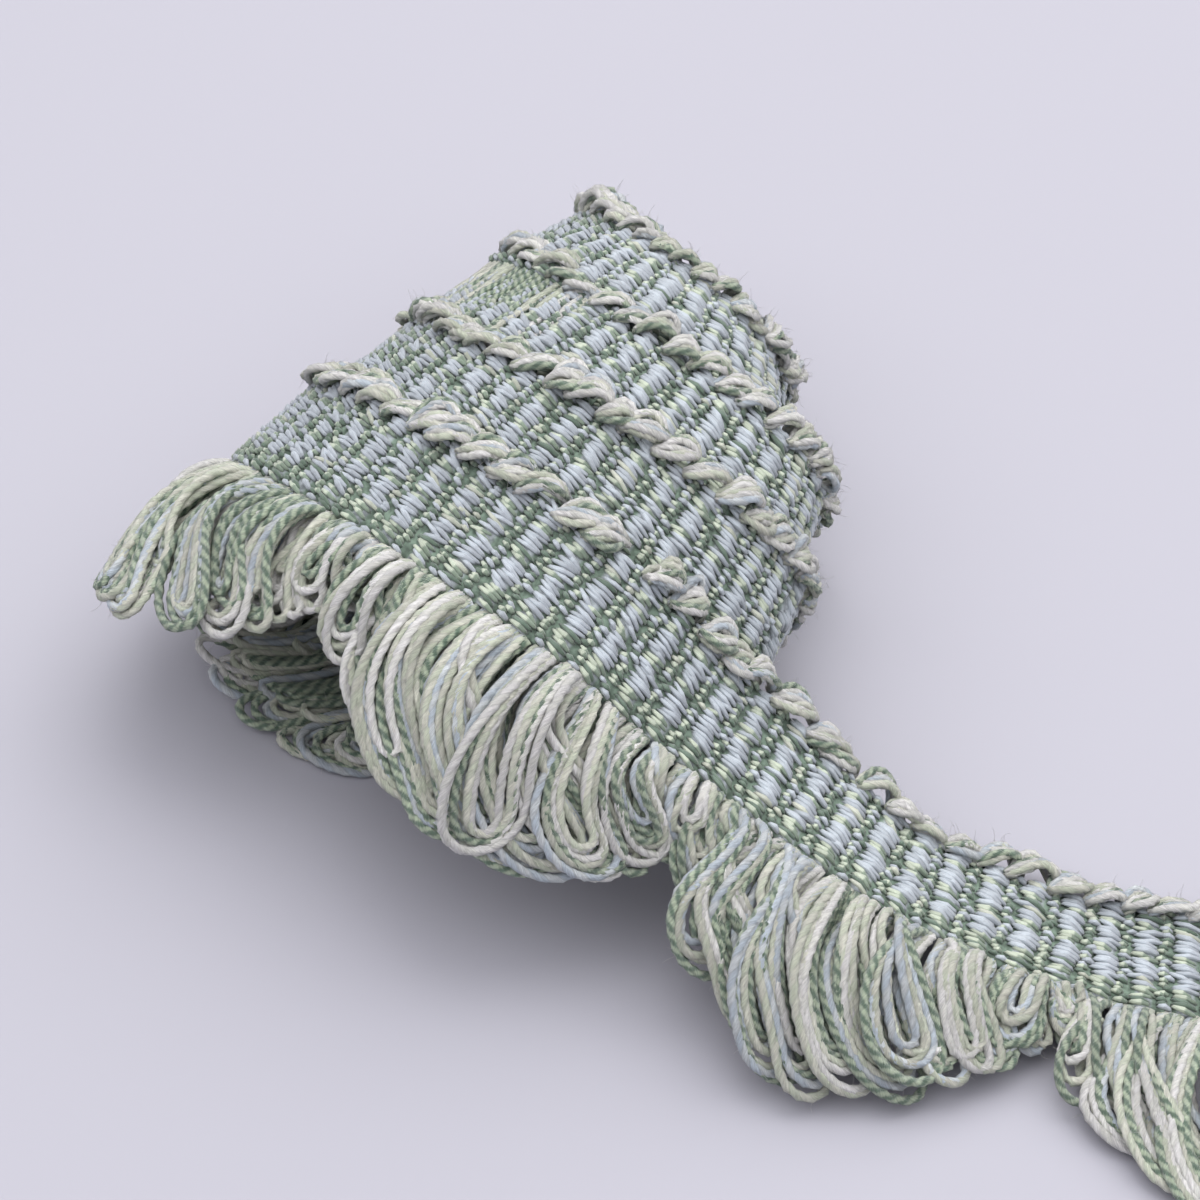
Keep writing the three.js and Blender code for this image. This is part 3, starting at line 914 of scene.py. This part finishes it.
def dress(piece, slot, *nodes):
    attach(piece, "root")
    if nodes:
        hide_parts(*nodes)


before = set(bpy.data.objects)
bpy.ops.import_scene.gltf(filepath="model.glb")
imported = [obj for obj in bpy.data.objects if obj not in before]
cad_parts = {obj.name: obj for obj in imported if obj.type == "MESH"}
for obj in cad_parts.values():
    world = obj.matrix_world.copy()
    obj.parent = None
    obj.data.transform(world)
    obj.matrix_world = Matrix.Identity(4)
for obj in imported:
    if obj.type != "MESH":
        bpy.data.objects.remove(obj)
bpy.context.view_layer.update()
target = camera()
lights(target)
plain_tones()
floor()

YARN = fringe_yarn()
FLOAT = float_yarn()
GROUND = ground_material()

yarn_tree = twisted_yarn_tree()
float_tree = scattered_tree()
shape = float_shape()

wound_web = web("wound_web", -WOUND_LENGTH + 0.5, -0.05, GROUND)
loose_web = web("loose_web", 0.05, TAIL_LENGTH, GROUND)
wound_pairs = range(math.ceil((1 - WOUND_LENGTH) / PAIR_PITCH), 0)
loose_pairs = range(math.floor(TAIL_LENGTH / PAIR_PITCH))
wound_floats = floats("wound_floats", wound_pairs, float_tree, shape, FLOAT, seed=3)
loose_floats = floats("loose_floats", loose_pairs, float_tree, shape, FLOAT, seed=4)
bpy.data.objects.remove(shape)

fans = []
fan_lines = []
for number, (name, (start, end)) in enumerate(FANS.items()):
    fan_lines.append(fan_loops(start, end, YARNS_PER_LOOP, seed=20 + number))
    fans.append(spun(name, fan_lines[-1], yarn_tree, YARN, **FAN_SPIN))
wound_fan_lines = sum(fan_lines[:WOUND_FANS], [])
loose_fan_lines = sum(fan_lines[WOUND_FANS:], [])

tucked_lines = tucked_loops(-WOUND_LENGTH + 4, TUCKED_END, seed=30)
tucked_fringe = spun("tucked_fringe", tucked_lines, yarn_tree, YARN, **TUCKED_SPIN)

wound_picot_lines = picot_lines(-WOUND_LENGTH + 3, -1, seed=5)
loose_picot_lines = picot_lines(-1, TAIL_LENGTH, seed=6)
wound_picots = spun("wound_picots", wound_picot_lines, yarn_tree, YARN, **PICOT_SPIN)
loose_picots = spun("loose_picots", loose_picot_lines, yarn_tree, YARN, **PICOT_SPIN)

wound_hairs = hair_lines(wound_fan_lines, count=2600, seed=41)
wound_hairs += hair_lines(wound_picot_lines, count=1800, seed=42)
loose_hairs = hair_lines(loose_fan_lines, count=1600, seed=43)
loose_hairs += hair_lines(loose_picot_lines, count=500, seed=44)
wound_fuzz = spun("wound_fuzz", wound_hairs, yarn_tree, YARN, **HAIR_SPIN)
loose_fuzz = spun("loose_fuzz", loose_hairs, yarn_tree, YARN, **HAIR_SPIN)

dress(wound_web, "braid", "wound_braid")
dress(loose_web, "braid", "loose_braid")
for piece in (wound_floats, loose_floats):
    dress(piece, "braid")
for piece in (tucked_fringe, wound_picots, loose_picots, wound_fuzz, loose_fuzz):
    dress(piece, "fringe")
for piece in fans[:WOUND_FANS]:
    dress(piece, "fringe", "mouth_fringe")
for piece in fans[WOUND_FANS:]:
    dress(piece, "fringe", "loose_fringe")
